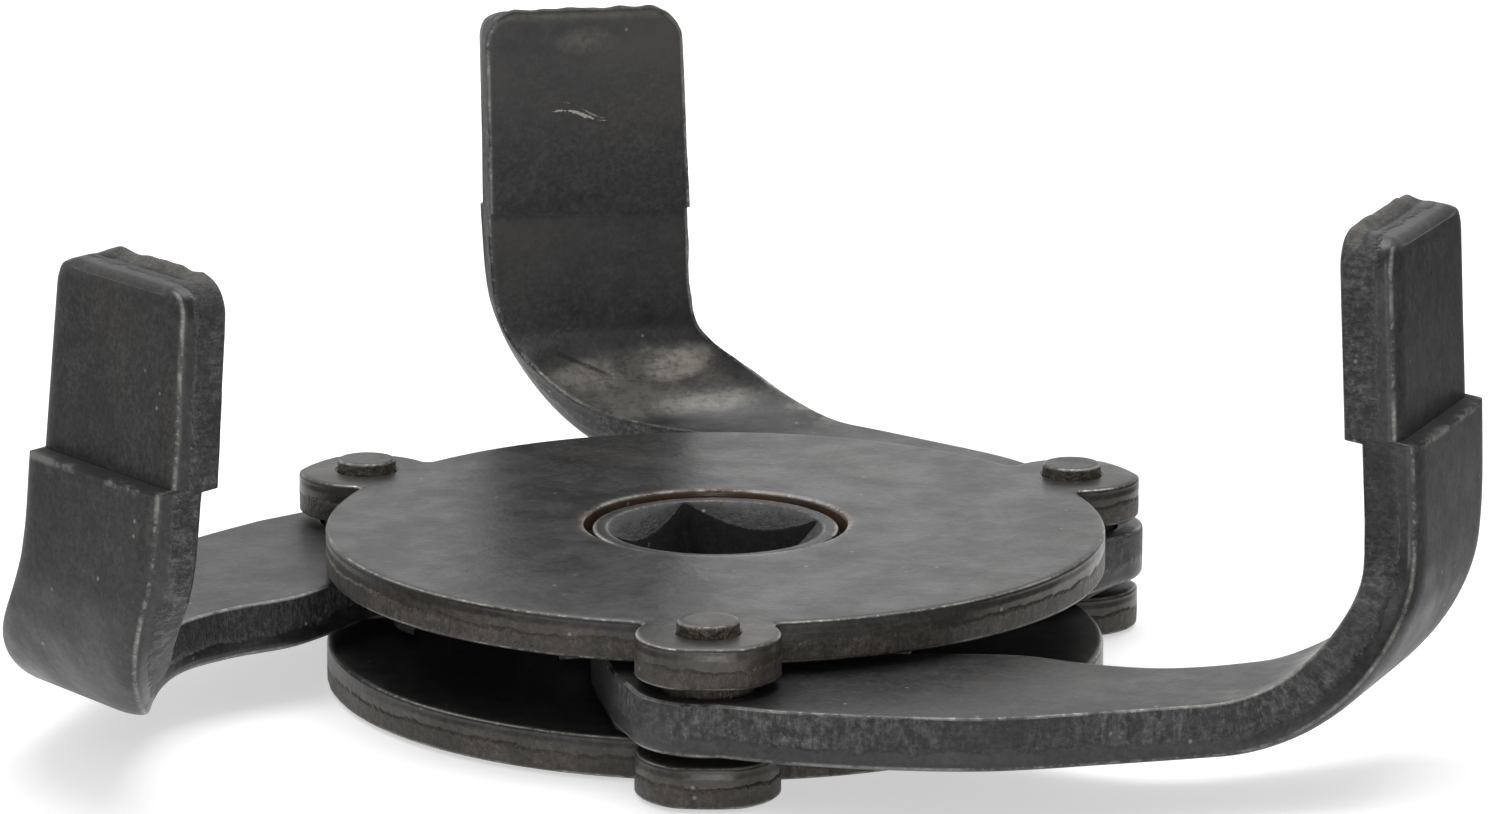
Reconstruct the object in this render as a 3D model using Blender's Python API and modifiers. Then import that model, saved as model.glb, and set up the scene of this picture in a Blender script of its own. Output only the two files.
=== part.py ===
"""Three-jaw oil filter wrench: two lobed plates riveted over a toothed drive hub and three geared jaw arms.

Frame: metres, +Z up.  The hub's axis is the Z axis, and z = 0 is the underside of the bottom plate.
The arms stand on the pivot pins at -90 degrees (front), 30 degrees (right) and 150 degrees (left).
"""
import math

import bmesh
import bpy

MM = 0.001

# Plates
PLATE_RADIUS = 32.5
PLATE_THICKNESS = 3.4
PLATE_GAP = 6.2
PLATE_BORE_RADIUS = 11.0
LOBE_RADIUS = 5.8
LOBE_REACH = 40.4
PIN_CIRCLE_RADIUS = 35.0
TOP_PLATE_Z = PLATE_THICKNESS + PLATE_GAP
STACK_HEIGHT = TOP_PLATE_Z + PLATE_THICKNESS

# Pivot pins: a shoulder between the plates and a rivet end through each plate
PIN_END_RADIUS = 2.5
PIN_SHOULDER_RADIUS = 3.7
PIN_BUTTON_HEIGHT = 1.0
PIN_FOOT_RECESS = 0.1
PART_GAP = 0.3
PIN_ANGLES = {"front": -90.0, "right": 30.0, "left": 150.0}

# Gear train: the hub's teeth are a multiple of three, so that all three arms are the same part
MODULE = 2.0
HUB_TEETH = 15
ARM_TEETH = 20
PRESSURE_ANGLE = 20.0
TOOTH_THINNING = 1.0
ADDENDUM = 0.95 * MODULE
DEDENDUM = 1.3 * MODULE

# Drive hub
HUB_GEAR_THICKNESS = 5.2
JOURNAL_RADIUS = 10.3
JOURNAL_RECESS = 0.45
DRIVE_SQUARE = 12.9
DRIVE_SQUARE_TURN = 18.0
COUNTERSINK_RADIUS = 9.0
COUNTERSINK_DEPTH = 1.6

# Jaw arm: a blank punched from plate, bent up at its end and joggled inwards at its tip.
# s runs from the pivot along the bending direction, e across it towards the hub.
ARM_THICKNESS = 4.7
ARM_PLAY_BELOW = 0.6
ARM_BASE_Z = PLATE_THICKNESS + ARM_PLAY_BELOW
ARM_HEADING = 70.0
ARM_BORE_RADIUS = 4.05
HEAD_RADIUS = 6.2
BEND_START = 38.2
BEND_RADIUS = 7.7
NEUTRAL_RADIUS = BEND_RADIUS + ARM_THICKNESS / 2
BEND_STEPS = 12
JOGGLE_LENGTH = 0.9
JOGGLE_DEPTH = 1.4
JAW_OUTER_EDGE = 24.2
JAW_INNER_EDGE = 43.0
TIP_CORNER_RADIUS = 2.4
OUTER_EDGE = [(8.0, -5.1), (16.0, -3.3), (24.0, -0.3), (32.0, 5.3), (40.0, 11.4), (48.0, 17.8), (53.5, 23.0)]
INNER_EDGE = [(56.0, 42.2), (50.0, 39.0), (44.0, 33.4), (38.0, 24.6), (32.0, 19.4), (26.0, 17.9), (19.0, 17.9)]
SECTOR_HEEL = (-8.3, 0.2)

# The jaws were bent and cropped one by one: bend angle, and the joggle and the tip above the bend's end
FORMING = {"front": (93.0, 9.9, 27.0), "right": (93.0, 11.1, 30.2), "left": (95.5, 8.8, 25.4)}

# Each arm rests a little off its nominal angle, within the play of the teeth.
REST_TURN = {"front": -2.0, "right": 2.0, "left": -1.1}

ROUND_STEPS = 64
PLATE_STEPS = 120


def clear_scene():
    for item in list(bpy.data.objects):
        bpy.data.objects.remove(item, do_unlink=True)


def new_collection(name):
    collection = bpy.data.collections.new(name)
    bpy.context.scene.collection.children.link(collection)
    return collection


def steel(name, colour, roughness, metallic):
    material = bpy.data.materials.new(name)
    material.use_nodes = True
    shader = material.node_tree.nodes["Principled BSDF"]
    shader.inputs["Base Color"].default_value = (*colour, 1.0)
    shader.inputs["Roughness"].default_value = roughness
    shader.inputs["Metallic"].default_value = metallic
    return material


def polar(radius, degrees, centre=(0.0, 0.0)):
    angle = math.radians(degrees)
    return (centre[0] + radius * math.cos(angle), centre[1] + radius * math.sin(angle))


def arc(radius, start, end, steps, centre=(0.0, 0.0)):
    return [polar(radius, start + (end - start) * i / steps, centre) for i in range(steps + 1)]


def circle(radius, steps=ROUND_STEPS, centre=(0.0, 0.0)):
    return arc(radius, 0.0, 360.0, steps, centre)[:-1]


def smooth_run(points, steps=4):
    """A Catmull-Rom curve through the points, without the last one."""
    padded = [points[0], *points, points[-1]]
    run = []
    for p0, p1, p2, p3 in zip(padded, padded[1:], padded[2:], padded[3:]):
        for i in range(steps):
            t = i / steps
            run.append(tuple(
                0.5 * (2 * b + (c - a) * t + (2 * a - 5 * b + 4 * c - d) * t**2 + (3 * b - a - 3 * c + d) * t**3)
                for a, b, c, d in zip(p0, p1, p2, p3)
            ))
    return run


def tooth(teeth, centre_angle):
    """One involute tooth about its own gear's centre, from its clockwise root to its other root."""
    pitch_radius = MODULE * teeth / 2
    base_radius = pitch_radius * math.cos(math.radians(PRESSURE_ANGLE))
    root_radius = pitch_radius - DEDENDUM
    tip_radius = pitch_radius + ADDENDUM
    pitch_half = (math.pi * MODULE / 2 - TOOTH_THINNING) / (2 * pitch_radius)

    def involute(radius):
        turn = math.acos(min(1.0, base_radius / radius))
        return math.tan(turn) - turn

    def half_angle(radius):
        return math.degrees(pitch_half + involute(pitch_radius) - involute(max(radius, base_radius)))

    flank_start = max(root_radius, base_radius)
    radii = [root_radius] + [flank_start + (tip_radius - flank_start) * i / 4 for i in range(5)]
    rising = [polar(r, centre_angle - half_angle(r)) for r in radii]
    falling = [polar(r, centre_angle + half_angle(r)) for r in reversed(radii)]
    return rising + falling


def flat_plate(name, outlines, thickness, collection):
    """A mesh cut from a flat outline, with the further outlines as holes; its middle plane is z = 0."""
    curve = bpy.data.curves.new(name, "CURVE")
    curve.dimensions = "2D"
    curve.fill_mode = "BOTH"
    curve.extrude = thickness * MM / 2
    for outline in outlines:
        spline = curve.splines.new("POLY")
        spline.points.add(len(outline) - 1)
        for point, (x, y) in zip(spline.points, outline):
            point.co = (x * MM, y * MM, 0.0, 1.0)
        spline.use_cyclic_u = True
    drawn = bpy.data.objects.new(name + "_outline", curve)
    collection.objects.link(drawn)
    bpy.context.view_layer.update()
    graph = bpy.context.evaluated_depsgraph_get()
    mesh = bpy.data.meshes.new_from_object(drawn.evaluated_get(graph))
    bpy.data.objects.remove(drawn, do_unlink=True)
    work = bmesh.new()
    work.from_mesh(mesh)
    bmesh.ops.remove_doubles(work, verts=work.verts, dist=1e-6)
    bmesh.ops.recalc_face_normals(work, faces=work.faces)
    work.to_mesh(mesh)
    work.free()
    mesh.name = name
    plate = bpy.data.objects.new(name, mesh)
    collection.objects.link(plate)
    return plate


def plate_outline():
    """The disc with its three lobes, whose outer ends are slightly flattened."""
    meet_x = (PLATE_RADIUS**2 - LOBE_RADIUS**2 + PIN_CIRCLE_RADIUS**2) / (2 * PIN_CIRCLE_RADIUS)
    rim_half = math.degrees(math.acos(meet_x / PLATE_RADIUS))
    lobe_half = math.degrees(math.acos((meet_x - PIN_CIRCLE_RADIUS) / LOBE_RADIUS))
    lobe = arc(LOBE_RADIUS, -lobe_half, lobe_half, 24, (PIN_CIRCLE_RADIUS, 0.0))
    lobe = [(min(x, LOBE_REACH), y) for x, y in lobe]
    outline = []
    for pin_angle in sorted(PIN_ANGLES.values()):
        turn = math.radians(pin_angle)
        outline += [
            (x * math.cos(turn) - y * math.sin(turn), x * math.sin(turn) + y * math.cos(turn)) for x, y in lobe
        ]
        rim = arc(PLATE_RADIUS, pin_angle + rim_half, pin_angle + 120.0 - rim_half, PLATE_STEPS // 3)
        outline += rim[1:-1]
    return outline


def make_plate(name, base_z, material, collection):
    holes = [circle(PLATE_BORE_RADIUS)]
    hole_radius = PIN_END_RADIUS + PART_GAP
    holes += [circle(hole_radius, 32, polar(PIN_CIRCLE_RADIUS, angle)) for angle in PIN_ANGLES.values()]
    plate = flat_plate(name, [plate_outline(), *holes], PLATE_THICKNESS, collection)
    plate.location.z = (base_z + PLATE_THICKNESS / 2) * MM
    plate.data.materials.append(material)
    return plate


def make_cutter(name, maker, cutters, **settings):
    maker(**settings)
    cutter = bpy.context.object
    cutter.name = name
    for owner in list(cutter.users_collection):
        owner.objects.unlink(cutter)
    cutters.objects.link(cutter)
    cutter.hide_render = True
    cutter.display_type = "WIRE"
    return cutter


def add_boolean(target, other, operation):
    step = target.modifiers.new(other.name, "BOOLEAN")
    step.operation = operation
    step.object = other
    step.solver = "EXACT"


def make_hub(material, collection, cutters):
    """The drive gear with a journal at each end and a countersunk square hole right through."""
    outline = []
    for i in range(HUB_TEETH):
        outline += tooth(HUB_TEETH, PIN_ANGLES["front"] + 360.0 / HUB_TEETH * i)
    hub = flat_plate("drive_hub", [outline], HUB_GEAR_THICKNESS, collection)
    hub.location.z = STACK_HEIGHT / 2 * MM
    hub.data.materials.append(material)

    middle = (0.0, 0.0, STACK_HEIGHT / 2 * MM)
    journal = make_cutter(
        "hub_journal", bpy.ops.mesh.primitive_cylinder_add, cutters, vertices=ROUND_STEPS,
        radius=JOURNAL_RADIUS * MM, depth=(STACK_HEIGHT - 2 * JOURNAL_RECESS) * MM, location=middle,
    )
    square = make_cutter(
        "hub_square", bpy.ops.mesh.primitive_cube_add, cutters, size=1.0, location=middle,
        rotation=(0.0, 0.0, math.radians(DRIVE_SQUARE_TURN - 45.0)),
    )
    square.scale = (DRIVE_SQUARE * MM, DRIVE_SQUARE * MM, 2 * STACK_HEIGHT * MM)
    add_boolean(hub, journal, "UNION")
    add_boolean(hub, square, "DIFFERENCE")
    # A cone twice as deep as the countersink, centred on the journal's end face
    slope = (COUNTERSINK_RADIUS - DRIVE_SQUARE / 2) / COUNTERSINK_DEPTH
    for end, side in (("top", 1), ("bottom", -1)):
        face_z = STACK_HEIGHT / 2 + side * (STACK_HEIGHT / 2 - JOURNAL_RECESS)
        wide = COUNTERSINK_RADIUS + slope * COUNTERSINK_DEPTH
        cone = make_cutter(
            f"hub_countersink_{end}", bpy.ops.mesh.primitive_cone_add, cutters, vertices=ROUND_STEPS,
            radius1=(DRIVE_SQUARE / 2 if side > 0 else wide) * MM,
            radius2=(wide if side > 0 else DRIVE_SQUARE / 2) * MM,
            depth=2 * COUNTERSINK_DEPTH * MM, location=(0.0, 0.0, face_z * MM),
        )
        add_boolean(hub, cone, "DIFFERENCE")
    return hub


def make_pin(place, material, collection):
    """A turned rivet, drawn as a half profile down its outer side."""
    button_top = STACK_HEIGHT + PIN_BUTTON_HEIGHT
    chamfer = 0.25
    profile = [
        (0.0, button_top),
        (PIN_END_RADIUS - chamfer, button_top),
        (PIN_END_RADIUS, button_top - chamfer),
        (PIN_END_RADIUS, TOP_PLATE_Z - PART_GAP),
        (PIN_SHOULDER_RADIUS, TOP_PLATE_Z - PART_GAP),
        (PIN_SHOULDER_RADIUS, PLATE_THICKNESS + PART_GAP),
        (PIN_END_RADIUS, PLATE_THICKNESS + PART_GAP),
        (PIN_END_RADIUS, PIN_FOOT_RECESS),
        (0.0, PIN_FOOT_RECESS),
    ]
    mesh = bpy.data.meshes.new(f"pivot_pin_{place}")
    edges = [(i, i + 1) for i in range(len(profile) - 1)]
    mesh.from_pydata([(r * MM, 0.0, z * MM) for r, z in profile], edges, [])
    pin = bpy.data.objects.new(mesh.name, mesh)
    collection.objects.link(pin)
    x, y = polar(PIN_CIRCLE_RADIUS, PIN_ANGLES[place])
    pin.location = (x * MM, y * MM, 0.0)
    turn = pin.modifiers.new("turn", "SCREW")
    turn.steps = turn.render_steps = 40
    turn.use_merge_vertices = True
    turn.merge_threshold = 0.00001
    mesh.materials.append(material)
    return pin


def forming(place):
    """The bend's angle, and how far along the blank the bend, the joggle and the arm reach."""
    angle, joggle_rise, tip_rise = FORMING[place]
    bend_end = BEND_START + NEUTRAL_RADIUS * math.radians(angle)
    return angle, bend_end, bend_end + joggle_rise, bend_end + tip_rise


def blank_outline(tip_end):
    """The arm's flat blank in (s, e): head, outer edge, tip, inner edge, gear sector and heel."""
    root_radius = MODULE * ARM_TEETH / 2 - DEDENDUM
    pitch = 360.0 / ARM_TEETH
    hub_bearing = 180.0 - ARM_HEADING
    head = arc(HEAD_RADIUS, 215.0, 300.0, 14)
    outer = smooth_run([*OUTER_EDGE, (57.5, JAW_OUTER_EDGE), (64.0, JAW_OUTER_EDGE)])
    tip_s = tip_end - TIP_CORNER_RADIUS
    outer_corner = arc(TIP_CORNER_RADIUS, 270.0, 360.0, 5, (tip_s, JAW_OUTER_EDGE + TIP_CORNER_RADIUS))
    inner_corner = arc(TIP_CORNER_RADIUS, 0.0, 90.0, 5, (tip_s, JAW_INNER_EDGE - TIP_CORNER_RADIUS))
    inner = smooth_run([(64.0, JAW_INNER_EDGE), *INNER_EDGE, polar(root_radius, hub_bearing - 3 * pitch)])
    teeth = []
    for i in range(5):
        teeth += tooth(ARM_TEETH, hub_bearing + (i - 2.5) * pitch)
    heel = [polar(root_radius, hub_bearing + 2 * pitch), SECTOR_HEEL]
    return head + outer + outer_corner + inner_corner + inner + teeth + heel


def bend_blank(s, e, height, place):
    """Carries a point of the blank, height above its underside, to the formed arm."""
    bend_angle, bend_end, joggle_start, _ = forming(place)
    if s <= BEND_START:
        return s, e, height
    bend = math.radians(bend_angle)
    angle = min((s - BEND_START) / NEUTRAL_RADIUS, bend)
    radius = BEND_RADIUS + ARM_THICKNESS - height
    run = BEND_START + radius * math.sin(angle)
    rise = ARM_THICKNESS + BEND_RADIUS - radius * math.cos(angle)
    straight = max(0.0, s - bend_end)
    inward = JOGGLE_DEPTH * min(1.0, max(0.0, (s - joggle_start) / JOGGLE_LENGTH))
    run += straight * math.cos(bend) - inward * math.sin(bend)
    rise += straight * math.sin(bend) + inward * math.cos(bend)
    return run, e, rise


def make_arm(place, material, collection):
    _, bend_end, joggle_start, tip_end = forming(place)
    outlines = [blank_outline(tip_end), circle(ARM_BORE_RADIUS, 40)]
    blank = flat_plate(f"jaw_arm_{place}", outlines, ARM_THICKNESS, collection)
    cuts = [BEND_START + (bend_end - BEND_START) * i / BEND_STEPS for i in range(BEND_STEPS + 1)]
    cuts += [joggle_start, joggle_start + JOGGLE_LENGTH]
    work = bmesh.new()
    work.from_mesh(blank.data)
    for cut in cuts:
        geometry = work.verts[:] + work.edges[:] + work.faces[:]
        bmesh.ops.bisect_plane(work, geom=geometry, dist=1e-7, plane_co=(cut * MM, 0, 0), plane_no=(1, 0, 0))
    for vert in work.verts:
        s, e, height = (value / MM for value in vert.co)
        run, across, rise = bend_blank(s, e, height + ARM_THICKNESS / 2, place)
        vert.co = (run * MM, across * MM, rise * MM)
    bmesh.ops.triangulate(work, faces=work.faces)
    work.to_mesh(blank.data)
    work.free()
    pin_angle = PIN_ANGLES[place]
    x, y = polar(PIN_CIRCLE_RADIUS, pin_angle)
    blank.location = (x * MM, y * MM, ARM_BASE_Z * MM)
    blank.rotation_euler.z = math.radians(pin_angle + ARM_HEADING + REST_TURN[place])
    blank.data.materials.append(material)
    return blank


def main():
    clear_scene()
    parts = new_collection("oil_filter_wrench")
    cutters = new_collection("wrench_cutters")
    plate_steel = steel("plate_steel", (0.045, 0.045, 0.047), 0.5, 0.6)
    arm_steel = steel("arm_steel", (0.05, 0.051, 0.054), 0.5, 0.6)
    hub_steel = steel("hub_steel", (0.06, 0.06, 0.062), 0.42, 0.7)
    pin_steel = steel("pin_steel", (0.055, 0.053, 0.05), 0.45, 0.7)
    make_plate("bottom_plate", 0.0, plate_steel, parts)
    make_plate("top_plate", TOP_PLATE_Z, plate_steel, parts)
    make_hub(hub_steel, parts, cutters)
    for place in PIN_ANGLES:
        make_pin(place, pin_steel, parts)
        make_arm(place, arm_steel, parts)
    for item in parts.objects:
        item.data.shade_smooth()
        item.data.set_sharp_from_angle(angle=math.radians(30.0))


main()
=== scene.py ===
"""Looks of the three-jaw oil filter wrench: punched and formed steel with a worn black oxide finish.

Lengths in the tables below are millimetres. Every piece stands where its CAD node does.
"""
import math

import bmesh
import bpy
from mathutils import Matrix, Vector, noise

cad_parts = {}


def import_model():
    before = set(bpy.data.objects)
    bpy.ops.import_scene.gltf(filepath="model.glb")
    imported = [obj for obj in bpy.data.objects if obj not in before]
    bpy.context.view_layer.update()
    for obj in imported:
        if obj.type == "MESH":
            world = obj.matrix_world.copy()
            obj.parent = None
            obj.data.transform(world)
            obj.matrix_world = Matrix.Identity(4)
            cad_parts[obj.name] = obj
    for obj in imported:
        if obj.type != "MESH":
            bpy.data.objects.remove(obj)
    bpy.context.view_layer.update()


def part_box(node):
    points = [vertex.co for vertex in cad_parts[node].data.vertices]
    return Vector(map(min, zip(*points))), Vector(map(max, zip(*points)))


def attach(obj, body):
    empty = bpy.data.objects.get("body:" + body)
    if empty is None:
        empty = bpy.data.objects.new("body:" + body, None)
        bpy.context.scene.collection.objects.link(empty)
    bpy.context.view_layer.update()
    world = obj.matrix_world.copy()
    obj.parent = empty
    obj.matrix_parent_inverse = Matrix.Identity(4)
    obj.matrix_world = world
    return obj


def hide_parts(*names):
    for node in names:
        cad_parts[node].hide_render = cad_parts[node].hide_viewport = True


MM = 0.001
NO_LIMIT = 9.0

# Plates and pins, as in the CAD
PLATE_RADIUS = 32.5
PLATE_THICKNESS = 3.4
PLATE_BORE_RADIUS = 11.0
LOBE_RADIUS = 5.8
LOBE_REACH = 40.4
LOBE_FLAT_DEPTH = 0.25
NECK_FILLET = 0.6
PIN_CIRCLE_RADIUS = 35.0
PIN_ANGLES = {"front": -90.0, "right": 30.0, "left": 150.0}
PIN_RADIUS = 2.5
PIN_HOLE_RADIUS = 2.58

# Gears
MODULE = 2.0
HUB_TEETH = 15
ARM_TEETH = 20
PRESSURE_ANGLE = 20.0
TOOTH_THINNING = 1.0
ADDENDUM = 0.95 * MODULE
DEDENDUM = 1.3 * MODULE

# Hub
HUB_GEAR_THICKNESS = 5.2
JOURNAL_RADIUS = 10.3
DRIVE_SQUARE = 12.9
DRIVE_SQUARE_TURN = 18.0
COUNTERSINK_RADIUS = 9.0
COUNTERSINK_DEPTH = 1.6

# Arms: s runs from the pivot along the bending direction, e across it towards the hub
ARM_THICKNESS = 4.7
ARM_HEADING = 70.0
ARM_BORE_RADIUS = 4.05
HEAD_RADIUS = 6.2
BEND_START = 38.2
BEND_RADIUS = 7.7
NEUTRAL_RADIUS = BEND_RADIUS + ARM_THICKNESS / 2
JOGGLE_LENGTH = 0.3
JOGGLE_LEAD = 0.3
JOGGLE_DEPTH = 1.45
JAW_OUTER_EDGE = 24.2
JAW_INNER_EDGE = 43.0
JAW_MIDDLE = (JAW_OUTER_EDGE + JAW_INNER_EDGE) / 2
TIP_CORNER_RADIUS = 2.9
OUTER_EDGE = [(8.0, -5.1), (16.0, -3.3), (24.0, -0.3), (32.0, 5.3), (40.0, 11.4), (48.0, 17.8), (53.5, 23.0)]
INNER_EDGE = [(56.0, 42.2), (50.0, 39.0), (44.0, 33.4), (38.0, 24.6), (32.0, 19.4), (26.0, 17.9), (19.0, 17.9)]
SECTOR_HEEL = (-8.3, 0.2)
REST_TURN = {"front": -2.0, "right": 2.0, "left": -1.1}

# The jaws were bent and cropped one by one: bend angle, and the joggle and the tip above the bend's end
FORMING = {"front": (93.0, 9.9, 27.0), "right": (93.0, 11.1, 30.2), "left": (95.5, 8.8, 25.4)}
# Sideways shift of each jaw in mm, and the share by which its tip is narrower than its root
JAW_SWAY = {"front": 0.3, "right": 0.1, "left": -0.2}
JAW_TAPER = {"front": 0.0, "right": 0.045, "left": 0.055}
# How far each tip leans sideways of its root, in mm
JAW_LEAN = {"front": 0.0, "right": 1.2, "left": 0.0}


# Outlines


def polar(radius, degrees, centre=(0.0, 0.0)):
    angle = math.radians(degrees)
    return (centre[0] + radius * math.cos(angle), centre[1] + radius * math.sin(angle))


def arc(radius, start, end, steps, centre=(0.0, 0.0)):
    return [polar(radius, start + (end - start) * i / steps, centre) for i in range(steps + 1)]


def circle(radius, steps, centre=(0.0, 0.0)):
    return arc(radius, 0.0, 360.0, steps, centre)[:-1]


def turned(points, degrees):
    c, s = math.cos(math.radians(degrees)), math.sin(math.radians(degrees))
    return [(x * c - y * s, x * s + y * c) for x, y in points]


def smooth_run(points, steps=10):
    """A Catmull-Rom curve through the points, without the last one."""
    padded = [points[0], *points, points[-1]]
    run = []
    for p0, p1, p2, p3 in zip(padded, padded[1:], padded[2:], padded[3:]):
        for i in range(steps):
            t = i / steps
            run.append(tuple(
                0.5 * (2 * b + (c - a) * t + (2 * a - 5 * b + 4 * c - d) * t**2 + (3 * b - a - 3 * c + d) * t**3)
                for a, b, c, d in zip(p0, p1, p2, p3)
            ))
    return run


def plate_outline():
    """The disc and its three lobes, with a small fillet in each neck."""
    reach = PLATE_RADIUS + NECK_FILLET
    lobe_reach = LOBE_RADIUS + NECK_FILLET
    cx = (reach**2 - lobe_reach**2 + PIN_CIRCLE_RADIUS**2) / (2 * PIN_CIRCLE_RADIUS)
    cy = math.sqrt(reach**2 - cx**2)
    on_rim = math.degrees(math.atan2(cy, cx))
    on_lobe = math.degrees(math.atan2(cy, cx - PIN_CIRCLE_RADIUS))
    lobe = arc(LOBE_RADIUS, -on_lobe, on_lobe, 40, (PIN_CIRCLE_RADIUS, 0.0))
    flat_from = LOBE_REACH - LOBE_FLAT_DEPTH
    lobe = [(x if x < flat_from else flat_from + (x - LOBE_REACH + LOBE_FLAT_DEPTH) * 0.4, y) for x, y in lobe]
    neck = arc(NECK_FILLET, on_lobe + 180.0, on_rim + 180.0, 5, (cx, cy))
    neck_in = [(x, -y) for x, y in reversed(neck)]
    outline = []
    for angle in sorted(PIN_ANGLES.values()):
        outline += turned(neck_in[1:] + lobe[1:-1] + neck[:-1], angle)
        outline += arc(PLATE_RADIUS, angle + on_rim, angle + 120.0 - on_rim, 84)[:-1]
    return outline


def tooth(teeth, centre_angle):
    pitch_radius = MODULE * teeth / 2
    base_radius = pitch_radius * math.cos(math.radians(PRESSURE_ANGLE))
    root_radius = pitch_radius - DEDENDUM
    tip_radius = pitch_radius + ADDENDUM
    pitch_half = (math.pi * MODULE / 2 - TOOTH_THINNING) / (2 * pitch_radius)

    def involute(radius):
        turn = math.acos(min(1.0, base_radius / radius))
        return math.tan(turn) - turn

    def half_angle(radius):
        return math.degrees(pitch_half + involute(pitch_radius) - involute(max(radius, base_radius)))

    flank_start = max(root_radius, base_radius)
    radii = [root_radius] + [flank_start + (tip_radius - flank_start) * i / 4 for i in range(5)]
    rising = [polar(r, centre_angle - half_angle(r)) for r in radii]
    return rising + [polar(r, centre_angle + half_angle(r)) for r in reversed(radii)]


def forming(place):
    """The bend's angle, and how far along the blank the bend, the joggle and the arm reach."""
    angle, joggle_rise, tip_rise = FORMING[place]
    bend_end = BEND_START + NEUTRAL_RADIUS * math.radians(angle)
    return angle, bend_end, bend_end + joggle_rise, bend_end + tip_rise


def arm_outline(tip_end):
    """The arm's flat blank in (s, e), and for each point the deepest inset its edge may have."""
    root_radius = MODULE * ARM_TEETH / 2 - DEDENDUM
    pitch = 360.0 / ARM_TEETH
    hub_bearing = 180.0 - ARM_HEADING
    head = arc(HEAD_RADIUS, 215.0, 300.0, 26)
    outer = smooth_run([*OUTER_EDGE, (57.5, JAW_OUTER_EDGE), (64.0, JAW_OUTER_EDGE), (72.0, JAW_OUTER_EDGE)])
    tip_s = tip_end - TIP_CORNER_RADIUS
    corner = arc(TIP_CORNER_RADIUS, 270.0, 360.0, 12, (tip_s, JAW_OUTER_EDGE + TIP_CORNER_RADIUS))
    end = [(tip_end, JAW_OUTER_EDGE + TIP_CORNER_RADIUS + i * 0.5) for i in range(1, 24)]
    end = [p for p in end if p[1] < JAW_INNER_EDGE - TIP_CORNER_RADIUS - 0.2]
    far_corner = arc(TIP_CORNER_RADIUS, 0.0, 90.0, 12, (tip_s, JAW_INNER_EDGE - TIP_CORNER_RADIUS))
    into_sector = polar(root_radius, hub_bearing - 3 * pitch)
    inner = smooth_run([(72.0, JAW_INNER_EDGE), (64.0, JAW_INNER_EDGE), *INNER_EDGE, into_sector])
    smooth = head + outer + corner + end + far_corner + inner
    teeth = []
    for i in range(5):
        teeth += tooth(ARM_TEETH, hub_bearing + (i - 2.5) * pitch)
    rough = teeth + [polar(root_radius, hub_bearing + 2 * pitch), SECTOR_HEEL]
    return smooth + rough, [NO_LIMIT] * len(smooth) + [0.3] * len(rough)


# Meshes. "edge" is 1 on a crest that wears bright, "side" 1 on a cut wall, "height" the way up that wall,
# and "blank" the point's place in the flat blank, in millimetres.


def new_work():
    work = bmesh.new()
    for name in ("edge", "side", "height"):
        work.verts.layers.float.new(name)
    work.verts.layers.float_vector.new("blank")
    return work


def add_ring(work, points, edge, side, height):
    layers = work.verts.layers
    ring = []
    for point in points:
        vert = work.verts.new(point)
        vert[layers.float["edge"]] = edge
        vert[layers.float["side"]] = side
        vert[layers.float["height"]] = height
        vert[layers.float_vector["blank"]] = point
        ring.append(vert)
    return ring


def join_rings(work, rings, closed=False):
    pairs = list(zip(rings, rings[1:] + rings[:1])) if closed else list(zip(rings, rings[1:]))
    for low, high in pairs:
        for i in range(len(low)):
            j = (i + 1) % len(low)
            work.faces.new((low[i], low[j], high[j], high[i]))


def inset_directions(points):
    """For each point of a closed outline, the miter towards its left, where the metal is."""
    found = []
    for i, (x, y) in enumerate(points):
        px, py = points[i - 1]
        nx, ny = points[(i + 1) % len(points)]
        a = Vector((x - px, y - py)).normalized()
        b = Vector((nx - x, ny - y)).normalized()
        miter = Vector((-(a.y + b.y), a.x + b.x))
        if miter.length < 1e-6:
            miter = Vector((-a.y, a.x))
        miter.normalize()
        share = max(0.5, miter.dot(Vector((-a.y, a.x))))
        found.append(miter / share)
    return found


def punched(work, outlines, profiles, thickness):
    """Adds a flat piece to the work, whose every edge follows a profile of (inset, height, edge, side)."""
    low_edges, high_edges = [], []
    for (points, limits), profile in zip(outlines, profiles):
        miters = inset_directions(points)
        rings = []
        for inset, height, edge, side in profile:
            ring_points = []
            for (x, y), miter, limit in zip(points, miters, limits):
                d = min(inset, limit)
                ring_points.append((x + miter.x * d, y + miter.y * d, height))
            rings.append(add_ring(work, ring_points, edge, side, height / thickness))
        join_rings(work, rings)
        for ring, edges in ((rings[0], low_edges), (rings[-1], high_edges)):
            edges += [work.edges.get((ring[i - 1], ring[i])) for i in range(len(ring))]
    for edges in (low_edges, high_edges):
        bmesh.ops.triangle_fill(work, edges=edges, use_beauty=True, use_dissolve=False)


def free(points):
    return points, [NO_LIMIT] * len(points)


def roll(radius, flat, thickness, steps=5):
    """Rings over a die-rolled top edge, from the wall to the face."""
    rings = []
    for i in range(steps + 1):
        angle = math.pi / 2 * i / steps
        inset = radius * (1 - math.cos(angle))
        depth = radius * 0.62 * (1 - math.sin(angle))
        rings.append((inset, thickness - depth, math.exp(-((i - steps * 0.45) ** 2)), 0.5))
    rings.append((radius + flat * 0.4, thickness, 0.12, 0.12))
    rings.append((radius + flat, thickness, 0.0, 0.0))
    return rings


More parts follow.
